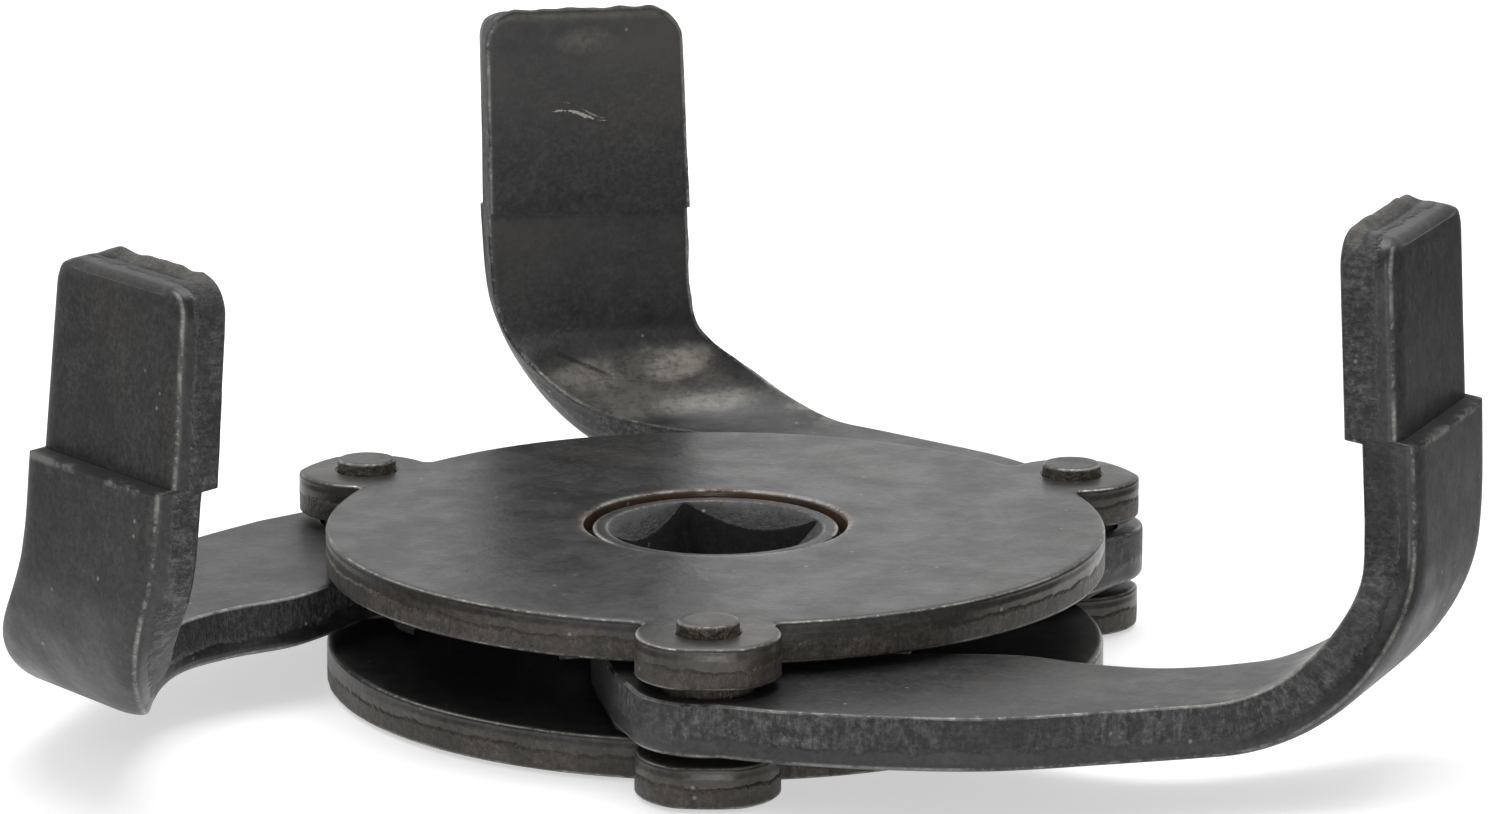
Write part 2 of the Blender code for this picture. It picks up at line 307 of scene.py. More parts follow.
def finish_mesh(work, name, material, matrix, sharp=38.0):
    bmesh.ops.recalc_face_normals(work, faces=work.faces)
    for vert in work.verts:
        vert.co = matrix @ (vert.co * MM)
    mesh = bpy.data.meshes.new(name)
    work.to_mesh(mesh)
    work.free()
    mesh.shade_smooth()
    mesh.set_sharp_from_angle(angle=math.radians(sharp))
    mesh.materials.append(material)
    piece = bpy.data.objects.new(name, mesh)
    bpy.context.scene.collection.objects.link(piece)
    even = piece.modifiers.new("even_normals", "WEIGHTED_NORMAL")
    even.keep_sharp = True
    even.weight = 60
    return piece


def wobble(x, y, z, scale, seed):
    return noise.noise(Vector((x / scale + seed * 7.3, y / scale - seed * 3.1, z / scale + seed)))


def make_plate(name, node, material, seed):
    low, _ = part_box(node)
    t = PLATE_THICKNESS
    wall = [(1.4, 0.0, 0.0, 0.0), (0.5, 0.0, 0.05, 0.1), (0.12, 0.0, 0.5, 0.4), (0.0, 0.12, 0.9, 0.8)]
    wall += [(0.0, t * k, 0.0, 1.0) for k in (0.12, 0.22, 0.32, 0.42, 0.5, 0.58, 0.66)]
    outer = wall + roll(0.6, 1.5, t)
    bore = [(1.2, 0.0, 0.0, 0.0), (0.25, 0.0, 0.3, 0.3), (0.0, 0.25, 0.7, 0.8), (0.0, t * 0.5, 0.0, 1.0)]
    bore += [(0.0, t - 0.3, 0.2, 0.9), (0.09, t - 0.09, 1.0, 0.6), (0.35, t, 0.75, 0.3), (1.3, t, 0.0, 0.0)]
    hole = [(0.7, 0.0, 0.0, 0.0), (0.1, 0.0, 0.3, 0.3), (0.0, 0.1, 0.5, 0.9), (0.0, t - 0.15, 0.3, 0.9)]
    hole += [(0.15, t, 0.5, 0.3), (0.7, t, 0.0, 0.0)]
    centres = [polar(PIN_CIRCLE_RADIUS, angle) for angle in PIN_ANGLES.values()]
    holes = [free(list(reversed(circle(PIN_HOLE_RADIUS, 40, centre)))) for centre in centres]
    outlines = [free(plate_outline()), free(list(reversed(circle(PLATE_BORE_RADIUS, 128)))), *holes]
    work = new_work()
    punched(work, outlines, [outer, bore, hole, hole, hole], t)
    side = work.verts.layers.float["side"]
    for vert in work.verts:
        x, y, z = vert.co
        if vert[side] > 0.75:
            push = 0.05 * wobble(x, y, z, 1.6, seed) if z < t * 0.6 else 0.0
            vert.co += Vector((x, y, 0)).normalized() * push
    return finish_mesh(work, name, material, Matrix.Translation((0, 0, low.z)))


def make_hub(name, node, material):
    """A sleeve with a square through hole and a gear round its middle."""
    low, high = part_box(node)
    length = (high.z - low.z) / MM
    middle = length / 2
    angles = [360.0 * i / 240 + DRIVE_SQUARE_TURN for i in range(240)]

    def square_radius(degrees):
        off = (degrees - DRIVE_SQUARE_TURN + 45.0) % 90.0 - 45.0
        corner = math.radians(45.0 - abs(off))
        return min(DRIVE_SQUARE / 2 / math.cos(corner), DRIVE_SQUARE / 2 * 1.372)

    slope = COUNTERSINK_DEPTH / (COUNTERSINK_RADIUS - DRIVE_SQUARE / 2)

    def ring(radius_at, height_at):
        return [(*polar(radius_at(a), a), height_at(a)) for a in angles]

    def mouth(a):
        return max(COUNTERSINK_RADIUS, square_radius(a) + 0.05)

    def seat(a):
        return max(0.05, (COUNTERSINK_RADIUS - square_radius(a)) * slope)

    end_rings = [
        (lambda a: JOURNAL_RADIUS, lambda a: 2.0, 0.0, 0.8),
        (lambda a: JOURNAL_RADIUS, lambda a: 0.2, 0.4, 0.6),
        (lambda a: JOURNAL_RADIUS - 0.07, lambda a: 0.06, 1.0, 0.4),
        (lambda a: JOURNAL_RADIUS - 0.22, lambda a: 0.0, 0.8, 0.2),
        (lambda a: (JOURNAL_RADIUS + mouth(a)) / 2, lambda a: 0.0, 0.1, 0.0),
        (lambda a: mouth(a) + 0.12, lambda a: 0.0, 0.7, 0.2),
        (lambda a: mouth(a) - 0.03, lambda a: 0.08, 0.6, 0.7),
        (lambda a: mouth(a) * 0.6 + square_radius(a) * 0.4, lambda a: seat(a) * 0.42 + 0.02, 0.0, 0.8),
        (lambda a: square_radius(a) + 0.1, lambda a: seat(a) * 0.95, 0.25, 0.8),
        (lambda a: square_radius(a) + 0.02, lambda a: seat(a) + 0.05, 0.7, 0.9),
        (lambda a: square_radius(a), lambda a: seat(a) + 0.3, 0.1, 0.9),
    ]
    work = new_work()
    rings = []
    for radius_at, height_at, edge, side in end_rings:
        rings.append(add_ring(work, ring(radius_at, lambda a: length - height_at(a)), edge, side, 0.5))
    for radius_at, height_at, edge, side in reversed(end_rings):
        rings.append(add_ring(work, ring(radius_at, height_at), edge, side, 0.5))
    join_rings(work, rings, closed=True)
    gear = []
    for i in range(HUB_TEETH):
        gear += tooth(HUB_TEETH, PIN_ANGLES["front"] + 360.0 / HUB_TEETH * i)
    t = HUB_GEAR_THICKNESS
    rim = [(0.3, 0.0, 0.3, 0.3), (0.0, 0.25, 0.8, 0.8), (0.0, t / 2, 0.0, 1.0)]
    rim += [(0.0, t - 0.25, 0.8, 0.8), (0.3, t, 0.3, 0.3)]
    seatless = [(0.0, 0.0, 0.0, 0.0), (0.0, t, 0.0, 0.0)]
    before = set(work.verts)
    punched(work, [free(gear), free(list(reversed(circle(JOURNAL_RADIUS - 0.3, 96))))], [rim, seatless], t)
    for vert in set(work.verts) - before:
        vert.co.z += middle - t / 2
    return finish_mesh(work, name, material, Matrix.Translation((0, 0, low.z)), sharp=32.0)


def make_pin(name, node, material, seed):
    low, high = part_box(node)
    x, y = (low.x + high.x) / 2, (low.y + high.y) / 2
    top = high.z / MM
    bottom = low.z / MM
    gap_low, gap_high = PLATE_THICKNESS + 0.3, 9.3
    profile = [
        (0.0, top - 0.06, 0.0), (0.9, top - 0.05, 0.05), (1.7, top, 0.1), (2.15, top, 0.3), (2.35, top - 0.05, 0.8),
        (2.47, top - 0.17, 0.7), (PIN_RADIUS, top - 0.35, 0.2), (PIN_RADIUS, gap_high, 0.1),
        (3.5, gap_high, 0.2), (3.7, gap_high - 0.2, 0.5), (3.7, gap_low + 0.2, 0.2), (3.5, gap_low, 0.5),
        (PIN_RADIUS, gap_low, 0.1), (PIN_RADIUS, bottom + 0.2, 0.2),
        (2.3, bottom, 0.6), (1.2, bottom, 0.1), (0.0, bottom, 0.0),
    ]
    work = new_work()
    rings = []
    for r, z, edge in profile:
        ring_points = [(*polar(max(r, 0.02), 360.0 * i / 56), z) for i in range(56)]
        rings.append(add_ring(work, ring_points, edge, 0.0 if z > top - 0.1 else 1.0, 0.5))
    join_rings(work, rings)
    work.faces.new(rings[0])
    work.faces.new(rings[-1])
    tilt = Matrix.Rotation(math.radians(0.5 * wobble(seed, 0, 0, 1.0, seed)), 4, "X")
    return finish_mesh(work, name, material, Matrix.Translation((x, y, 0)) @ tilt)


def smooth_step(t):
    t = min(1.0, max(0.0, t))
    return t * t * (3 - 2 * t)


def form(s, e, height, place):
    """Carries a point of the blank to the formed arm, in the arm's own frame."""
    bend_angle, bend_end, joggle_start, tip_end = forming(place)
    bend = math.radians(bend_angle)
    e += JAW_SWAY[place] * smooth_step((s - 36.0) / 24.0)
    up = max(0.0, (s - bend_end) / (tip_end - bend_end))
    e = JAW_MIDDLE + (e - JAW_MIDDLE) * (1 - JAW_TAPER[place] * up) + JAW_LEAN[place] * up
    height *= 1 - 0.8 * JAW_TAPER[place] * up
    if s <= BEND_START:
        return s, e, height
    angle = min((s - BEND_START) / NEUTRAL_RADIUS, bend)
    radius = BEND_RADIUS + ARM_THICKNESS - height
    run = BEND_START + radius * math.sin(angle)
    rise = ARM_THICKNESS + BEND_RADIUS - radius * math.cos(angle)
    straight = max(0.0, s - bend_end)
    along = min(1.0, max(0.0, (s - joggle_start - JOGGLE_LEAD) / JOGGLE_LENGTH))
    inward = JOGGLE_DEPTH * (0.7 * along + 0.3 * smooth_step(along))
    run += straight * math.cos(bend) - inward * math.sin(bend)
    rise += straight * math.sin(bend) + inward * math.cos(bend)
    return run, e, rise


def make_arm(name, node, place, material, seed):
    t = ARM_THICKNESS
    lower = [(2.1, 0.0, 0.0, 0.0), (1.5, 0.04, 0.0, 0.05), (1.0, 0.13, 0.0, 0.15), (0.6, 0.25, 0.15, 0.3)]
    lower += [(0.3, 0.38, 0.6, 0.4), (0.12, 0.52, 1.0, 0.5), (0.03, 0.74, 0.5, 0.7), (0.0, 1.1, 0.0, 0.95)]
    wall = [(0.0, t * k, 0.0, 1.0) for k in (0.33, 0.4, 0.46, 0.52, 0.58, 0.64, 0.7, 0.76, 0.82, 0.88)]
    upper = [(0.02, t - 0.32, 0.25, 1.0), (0.08, t - 0.12, 0.9, 0.75), (0.24, t - 0.02, 0.85, 0.4)]
    upper += [(0.6, t, 0.15, 0.12), (1.5, t, 0.0, 0.0)]
    bore = [(0.6, 0.0, 0.0, 0.0), (0.0, 0.2, 0.3, 0.8), (0.0, t - 0.2, 0.3, 0.8), (0.6, t, 0.0, 0.0)]
    _, bend_end, joggle_start, tip_end = forming(place)
    outline, limits = arm_outline(tip_end)
    work = new_work()
    punched(
        work, [(outline, limits), free(list(reversed(circle(ARM_BORE_RADIUS, 48))))], [lower + wall + upper, bore], t
    )
    cuts = [12.0, 20.0, 28.0, 34.0]
    cuts += [BEND_START + (bend_end - BEND_START) * i / 30 for i in range(31)]
    cuts += [bend_end + 2.5 * i for i in (1, 2, 3)]
    cuts += [joggle_start + JOGGLE_LEAD + JOGGLE_LENGTH * i / 6 for i in range(-4, 11)]
    cuts += [joggle_start + 5.0, joggle_start + 9.0, joggle_start + 12.5]
    for cut in cuts:
        everything = work.verts[:] + work.edges[:] + work.faces[:]
        bmesh.ops.bisect_plane(work, geom=everything, dist=1e-5, plane_co=(cut, 0, 0), plane_no=(1, 0, 0))
    layers = work.verts.layers
    edge, side, blank = layers.float["edge"], layers.float["side"], layers.float_vector["blank"]
    for vert in work.verts:
        s, e, height = vert.co
        vert[blank] = (s - joggle_start, e, height)
        if vert[side] > 0.6 and s > 10.0:
            # The torn half of the wall, and the cropped end with its burr
            push = 0.07 * wobble(s, e, height * 2, 1.3, seed) * smooth_step((height / t - 0.45) * 4)
            e += push * (1 if e > JAW_MIDDLE else -1) if s < tip_end - 2 else 0.0
        if s > tip_end - 1.5:
            near_end = smooth_step((s - tip_end + 1.5) / 1.3)
            fade = smooth_step((e - JAW_OUTER_EDGE - 0.8) / 3.0) * smooth_step((JAW_INNER_EDGE - 0.8 - e) / 3.0)
            level = height / t
            slope = -1.0 * (1 - level) ** 1.6
            ridge = math.exp(-(((level - 0.86) / 0.1) ** 2)) * (0.55 + 0.5 * wobble(e, 0, 0, 1.7, seed))
            groove = -0.35 * math.exp(-(((level - 0.64) / 0.08) ** 2)) * (0.7 + wobble(e, 3, 0, 2.1, seed))
            s += near_end * (slope * (0.5 + 0.5 * fade) + (0.7 * ridge + groove) * fade)
            vert[edge] *= 1 - 0.9 * near_end * min(1.0, fade * 1.5)
        vert.co = form(s, e, height, place)
    low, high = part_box(f"pivot_pin_{place}")
    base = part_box(node)[0].z
    turn = Matrix.Rotation(math.radians(PIN_ANGLES[place] + ARM_HEADING + REST_TURN[place]), 4, "Z")
    matrix = Matrix.Translation(((low.x + high.x) / 2, (low.y + high.y) / 2, base)) @ turn
    return finish_mesh(work, name, material, matrix)


# Materials

BARE_STEEL = (0.45, 0.435, 0.4)
# A painted highlight inside the arms' bends
BEND_HIGHLIGHT_STEEL = (0.42, 0.395, 0.34)
DUST = (0.25, 0.24, 0.22)
NICKED = (0.12, 0.11, 0.092)
BURR = (0.085, 0.077, 0.06)
RUST = (0.075, 0.045, 0.027)
# Painted light on the jaws' inner faces
PAINTED_LIGHT_OXIDE = (0.05, 0.047, 0.044)
TAN_OXIDE = (0.04, 0.0335, 0.0245)
PIT = (0.006, 0.005, 0.005)
# Painted shade in the bends' folds and creases
FOLD_SHADE = (0.006, 0.0055, 0.005)
# Painted shade on the step's ledge
LEDGE_SHADE = (0.004, 0.0038, 0.0036)
SHADED_WALL = (0.004, 0.0037, 0.0033)
# Painted shade in the crevice of a jaw's cropped end
CREVICE_SHADE = (0.003, 0.003, 0.003)
# Painted shade on the gear sectors between the plates
SECTOR_SHADE = (0.003, 0.0028, 0.0026)


class Nodes:
    """Short hand for building a material's node tree."""

    def __init__(self, name):
        self.material = bpy.data.materials.new(name)
        self.material.use_nodes = True
        self.tree = self.material.node_tree
        self.shader = self.tree.nodes["Principled BSDF"]
        self.place = self.add("ShaderNodeTexCoord").outputs["Object"]

    def add(self, kind, **settings):
        node = self.tree.nodes.new(kind)
        for key, value in settings.items():
            setattr(node, key, value)
        return node

    def link(self, source, target):
        if isinstance(source, (int, float, tuple)):
            target.default_value = source
        else:
            self.tree.links.new(source, target)

    def math(self, operation, a, b=0.0, clamp=False):
        node = self.add("ShaderNodeMath", operation=operation, use_clamp=clamp)
        self.link(a, node.inputs[0])
        self.link(b, node.inputs[1])
        return node.outputs[0]

    def attribute(self, name, vector=False):
        node = self.add("ShaderNodeAttribute", attribute_name=name)
        return node.outputs["Vector" if vector else "Fac"]

    def scaled(self, vector, scale):
        node = self.add("ShaderNodeMapping")
        self.link(vector, node.inputs["Vector"])
        node.inputs["Scale"].default_value = scale
        return node.outputs[0]

    def noise(self, scale, detail=4.0, vector=None, roughness=0.55, distortion=0.0):
        node = self.add("ShaderNodeTexNoise")
        self.link(self.place if vector is None else vector, node.inputs["Vector"])
        node.inputs["Scale"].default_value = scale
        node.inputs["Detail"].default_value = detail
        node.inputs["Roughness"].default_value = roughness
        node.inputs["Distortion"].default_value = distortion
        return node.outputs["Fac"]

    def cells(self, scale):
        node = self.add("ShaderNodeTexVoronoi", feature="F1")
        self.link(self.place, node.inputs["Vector"])
        node.inputs["Scale"].default_value = scale
        return node.outputs

    def span(self, value, low, high, out_low=0.0, out_high=1.0):
        node = self.add("ShaderNodeMapRange", interpolation_type="SMOOTHSTEP")
        self.link(value, node.inputs["Value"])
        for key, number in (("From Min", low), ("From Max", high), ("To Min", out_low), ("To Max", out_high)):
            self.link(number, node.inputs[key])
        return node.outputs["Result"]

    def mix(self, share, a, b):
        node = self.add("ShaderNodeMix", data_type="RGBA")
        self.link(share, node.inputs["Factor"])
        for colour, socket in ((a, node.inputs["A"]), (b, node.inputs["B"])):
            self.link((*colour, 1.0) if isinstance(colour, tuple) else colour, socket)
        return node.outputs["Result"]

    def bump(self, height, strength, distance):
        node = self.add("ShaderNodeBump")
        node.inputs["Strength"].default_value = strength
        node.inputs["Distance"].default_value = distance
        self.link(height, node.inputs["Height"])
        return node.outputs["Normal"]

    def axis(self, vector, index):
        node = self.add("ShaderNodeSeparateXYZ")
        self.link(vector, node.inputs[0])
        return node.outputs[index]


def black_oxide_and_painted_light(
    name, flat, cloud, side_tint, shear_line=0.5, gloss=0.4, wall_gloss=0.0, torn_gain=3.0, bore_rust=False,
    tip=None, scratch_and_wall_shade=False,
):
    """Worn black oxide on steel: clouded flats, torn walls, bright worn crests, dust and pits.

    shear_line is the share of a wall's height where its torn zone starts. tip is how far past the joggle an arm
    reaches, in mm. It brings in an arm's own marks, together with painted shade in its bend, crevice, gear sector and
    step ledge, a painted highlight inside its bend and painted light on its inner face. bore_rust brings in the plates'
    own marks, and the scratch flag brings in the rear jaw's scratch and painted shade on its wall.
    """
    n = Nodes(name)
    edge, side, height = n.attribute("edge"), n.attribute("side"), n.attribute("height")
    blank = n.attribute("blank", vector=True)

    cloudy = n.span(n.noise(70.0, 6.0, distortion=0.8, roughness=0.6), 0.36, 0.68)
    colour = n.mix(cloudy, flat, cloud)
    brown = n.span(n.noise(42.0, 5.0, distortion=0.5, roughness=0.65), 0.5, 0.72)
    colour = n.mix(n.math("MULTIPLY", brown, 0.6), colour, (cloud[0] * 1.5, cloud[1] * 1.3, cloud[2]))
    mottle = n.span(n.noise(600.0, 5.0, roughness=0.7), 0.4, 0.75)
    colour = n.mix(n.math("MULTIPLY", mottle, 0.5), colour, tuple(c * 2.3 for c in cloud))
    grain = n.span(n.noise(2100.0, 3.0, roughness=0.8), 0.35, 0.7, 0.55, 1.5)

    # The torn zone of a punched wall starts at a ragged line
    ragged = n.math("SUBTRACT", n.noise(300.0, 4.0, roughness=0.7), 0.5)
    ragged = n.math("ADD", height, n.math("MULTIPLY", ragged, 0.45))
    wall = n.span(side, 0.55, 0.95)
    low, high = (shear_line - 0.06, shear_line + 0.06) if tip else (shear_line + 0.06, shear_line - 0.06)
    torn = n.math("MULTIPLY", n.span(ragged, low, high), wall)
    drag = n.noise(1.0, 5.0, n.scaled(blank, (1.5, 1.5, 0.4)), 0.7, 1.0)
    crumbs = n.noise(1500.0, 5.0, roughness=0.75)
    colour = n.mix(n.math("MULTIPLY", wall, 0.85), colour, side_tint)
    smears = n.span(n.noise(240.0, 5.0, roughness=0.65), 0.42, 0.66)
    colour = n.mix(n.math("MULTIPLY", n.math("MULTIPLY", smears, wall), 0.7), colour, tuple(c * 2.2 for c in side_tint))
    torn_tint = n.span(n.math("MULTIPLY", n.math("ADD", drag, crumbs), 0.5), 0.42, 0.6)
    torn_patches = n.span(n.noise(75.0, 4.0), 0.42, 0.6, 0.2, 1.0)
    torn_share = n.math("MULTIPLY", n.math("MULTIPLY", torn, torn_tint), torn_patches)
    colour = n.mix(torn_share, colour, tuple(c * torn_gain for c in side_tint))
    scale = n.add("ShaderNodeVectorMath", operation="SCALE")
    n.link(colour, scale.inputs[0])
    n.link(grain, scale.inputs["Scale"])
    colour = scale.outputs[0]

    if bore_rust:
        radius = n.add("ShaderNodeVectorMath", operation="LENGTH")
        n.link(n.scaled(n.place, (1.0, 1.0, 0.0)), radius.inputs[0])
        rim = n.span(radius.outputs["Value"], 0.0305, 0.0345, 0.0, 0.55)
        tan = n.math("MAXIMUM", rim, n.span(edge, 0.02, 0.35))
        tan = n.math("MULTIPLY", tan, n.span(n.noise(95.0, 5.0, roughness=0.65), 0.36, 0.6, 0.25, 1.0))
        colour = n.mix(n.math("MULTIPLY", tan, 0.7), colour, TAN_OXIDE)
        rust = n.span(n.noise(180.0, 4.0), 0.3, 0.6, 0.4, 1.0)
        rust = n.math("MULTIPLY", n.span(radius.outputs["Value"], 0.0114, 0.01105), rust)
        colour = n.mix(rust, colour, RUST)

    # Bright metal where crests are rubbed, in broken specks
    chips = n.span(n.noise(1700.0, 5.0, roughness=0.8), 0.5, 0.6)
    run = n.span(n.noise(110.0, 4.0, roughness=0.7), 0.44, 0.56)
    rubbed = n.span(edge, 0.45, 0.95)
    broken = n.math("ADD", n.math("MULTIPLY", run, 0.5), n.math("MULTIPLY", chips, 0.5))
    worn = n.math("MULTIPLY", rubbed, broken, clamp=True)
    roughness = n.span(n.noise(160.0, 5.0, roughness=0.65), 0.3, 0.7, gloss - 0.06, gloss + 0.08)
    roughness = n.math("ADD", roughness, n.math("MULTIPLY", torn, 0.12))
    roughness = n.math("ADD", roughness, n.math("MULTIPLY", wall, wall_gloss))

    relief = n.math("MULTIPLY", n.noise(2600.0, 3.0, roughness=0.7), 0.35)
    relief = n.math("ADD", relief, n.math("MULTIPLY", n.noise(420.0, 5.0), 0.7))
    rough_wall = n.math("ADD", n.math("MULTIPLY", drag, 1.4), n.math("MULTIPLY", crumbs, 1.6))
    relief = n.math("ADD", relief, n.math("MULTIPLY", rough_wall, n.math("MULTIPLY", torn, 3.0)))
    relief = n.math("ADD", relief, n.math("MULTIPLY", n.noise(170.0, 4.0), n.math("MULTIPLY", wall, 3.0)))

    if tip:
        s, e, h = n.axis(blank, 0), n.axis(blank, 1), n.axis(blank, 2)
        inside = n.span(h, ARM_THICKNESS - 0.4, ARM_THICKNESS - 0.05)
        outside = n.span(h, 0.9, 0.3)

        def spot(at_s, at_e, half_s, half_e, lean=0.0):
            across = n.math("DIVIDE", n.math("SUBTRACT", e, at_e), half_e)
            skew = n.math("MULTIPLY", n.math("SUBTRACT", e, at_e), lean)
            along = n.math("SUBTRACT", n.math("SUBTRACT", s, at_s), skew)
            along = n.math("DIVIDE", along, half_s)
            reach = n.math("ADD", n.math("MULTIPLY", across, across), n.math("MULTIPLY", along, along))
            fringe = n.math("MULTIPLY", n.noise(330.0, 5.0, roughness=0.7), 0.9)
            return n.span(n.math("ADD", reach, fringe), 1.5, 0.35)

        # Painted highlight: pale patches of colour on the inside of the bend, with painted shade in dark creases
        # between
        bend_zone = n.math("MULTIPLY", n.span(s, -29.0, -24.0), n.span(s, -10.5, -13.0))
        patches = spot(-15.4, 26.0, 2.9, 4.4, -0.2)
        speckle = n.span(n.noise(150.0, 4.0, roughness=0.6), 0.52, 0.64)
        for patch, share in (
            (spot(-16.6, 34.5, 3.0, 5.6, 0.1), 0.62), (spot(-20.4, 24.5, 2.4, 7.5, -0.1), 0.55),
            (spot(-18.0, 29.5, 5.8, 11.0), 0.33), (speckle, 0.3),
        ):
            patches = n.math("MAXIMUM", patches, n.math("MULTIPLY", patch, share))
        bend_highlight = n.math("MULTIPLY", n.math("MULTIPLY", bend_zone, inside), patches)
        highlight_streaks = n.noise(1.0, 5.0, n.scaled(blank, (1.3, 0.45, 0.3)), 0.7, 0.6)
        bend_highlight = n.math("MULTIPLY", bend_highlight, n.span(n.math("ADD", crumbs, highlight_streaks), 0.75, 1.15, 0.35, 1.0))
        colour = n.mix(n.math("MULTIPLY", bend_highlight, 0.85), colour, BEND_HIGHLIGHT_STEEL)
        # Painted shade: a dark arched band along the bend's start, and a dark fold across its foot
        sag = n.math("DIVIDE", n.math("SUBTRACT", e, 26.0), 12.0)
        arch = n.math("ADD", s, n.math("MULTIPLY", n.math("MULTIPLY", sag, sag), 3.5))
        band = n.math("MULTIPLY", n.span(arch, -13.4, -12.2), n.span(arch, -8.6, -10.2))
        fold_shade = n.math("MULTIPLY", n.span(n.math("ABSOLUTE", n.math("ADD", s, 23.4)), 1.0, 0.2), n.span(e, 33.0, 28.0))
        band = n.math("MULTIPLY", n.math("MAXIMUM", band, fold_shade), inside)
        colour = n.mix(n.math("MULTIPLY", band, 0.6), colour, FOLD_SHADE)
        # Painted shade along a crease in the bend
        crease_shade = n.math("ABSOLUTE", n.math("SUBTRACT", s, n.math("ADD", n.math("MULTIPLY", e, 0.62), -36.4)))
        crease_reach = n.math("MULTIPLY", n.span(e, 31.0, 33.5), n.span(e, 37.5, 34.5))
        crease_shade = n.math("MULTIPLY", n.span(crease_shade, 0.42, 0.05), crease_reach)
        crease_shade = n.math("MULTIPLY", n.math("MULTIPLY", crease_shade, inside), n.span(crumbs, 0.38, 0.56))
        colour = n.mix(n.math("MULTIPLY", crease_shade, 0.7), colour, FOLD_SHADE)
        relief = n.math("ADD", relief, n.math("MULTIPLY", n.noise(90.0, 3.0), n.math("MULTIPLY", bend_zone, 7.0)))
        relief = n.math("SUBTRACT", relief, n.math("MULTIPLY", crease_shade, 3.0))

        # Painted light: the jaw's inner face is paler towards the tip and just below the step
        below_step = n.math("MULTIPLY", n.span(s, -0.1, -0.6), n.span(s, -11.0, -1.5))
        light_patchiness = n.span(n.noise(120.0, 5.0, roughness=0.7), 0.3, 0.66, 0.35, 1.0)
        painted_pale_light = n.math("MAXIMUM", n.span(s, 4.0, 15.0), below_step)
        painted_pale_light = n.math("MULTIPLY", n.math("MULTIPLY", painted_pale_light, inside), light_patchiness)
        colour = n.mix(n.math("MULTIPLY", painted_pale_light, 0.75), colour, PAINTED_LIGHT_OXIDE)
        nick = n.math("MULTIPLY", spot(16.4, 33.5, 1.5, 3.4), inside)
        nick = n.math("MULTIPLY", nick, n.span(crumbs, 0.4, 0.6, 0.2, 1.0))
        colour = n.mix(n.math("MULTIPLY", nick, 0.6), colour, NICKED)

        # The cropped end tore: a crevice, painted dark as shade, and beyond it a brown burr
        at_end = n.math("MULTIPLY", n.span(s, tip - 1.0, tip - 0.5), n.span(edge, 0.5, 0.3))
        drift = n.math("MULTIPLY", n.math("SUBTRACT", n.noise(260.0, 4.0), 0.5), 0.9)
        rise = n.math("SUBTRACT", n.math("ADD", h, drift), 3.0)
        crevice_shade = n.math("MULTIPLY", n.span(n.math("ABSOLUTE", rise), 0.24, 0.1), at_end)
        burr = n.math("MULTIPLY", n.span(rise, 0.2, 0.4), at_end)
        burr = n.math("MULTIPLY", burr, n.span(crumbs, 0.35, 0.6, 0.3, 1.0))
        colour = n.mix(n.math("MULTIPLY", burr, 0.7), colour, BURR)
        colour = n.mix(n.math("MULTIPLY", crevice_shade, 0.9), colour, CREVICE_SHADE)

        # Painted shade darkens the gear sector between the plates
        sector_shade = n.math("MULTIPLY", n.span(s, -62.0, -65.5), n.span(e, -1.5, 1.0))
        colour = n.mix(n.math("MULTIPLY", sector_shade, 0.85), colour, SECTOR_SHADE)
        roughness = n.math("ADD", roughness, n.math("MULTIPLY", sector_shade, 0.3))

        # Painted shade darkens the step's ledge on the outer face; its crest is rubbed
        ledge_shade = n.math("MULTIPLY", n.math("MULTIPLY", n.span(s, 0.12, 0.3), n.span(s, 0.8, 0.6)), outside)
        colour = n.mix(n.math("MULTIPLY", ledge_shade, 0.75), colour, LEDGE_SHADE)
        roughness = n.math("ADD", roughness, n.math("MULTIPLY", ledge_shade, 0.25))
        crest = n.math("MULTIPLY", n.span(s, -0.3, 0.1), n.span(s, 0.5, 0.25))
        crest_run = n.span(n.noise(260.0, 5.0, roughness=0.7), 0.45, 0.56)
        crest = n.math("MULTIPLY", n.math("MULTIPLY", crest, outside), crest_run)
        worn = n.math("MULTIPLY", worn, n.span(outside, 0.0, 1.0, 0.7, 0.5))
        worn = n.math("MAXIMUM", worn, n.math("MULTIPLY", crest, 0.3))
        matt_face = n.math("MULTIPLY", outside, n.span(s, -22.0, -12.0))
        roughness = n.math("ADD", roughness, n.math("MULTIPLY", matt_face, 0.12))
    if scratch_and_wall_shade:
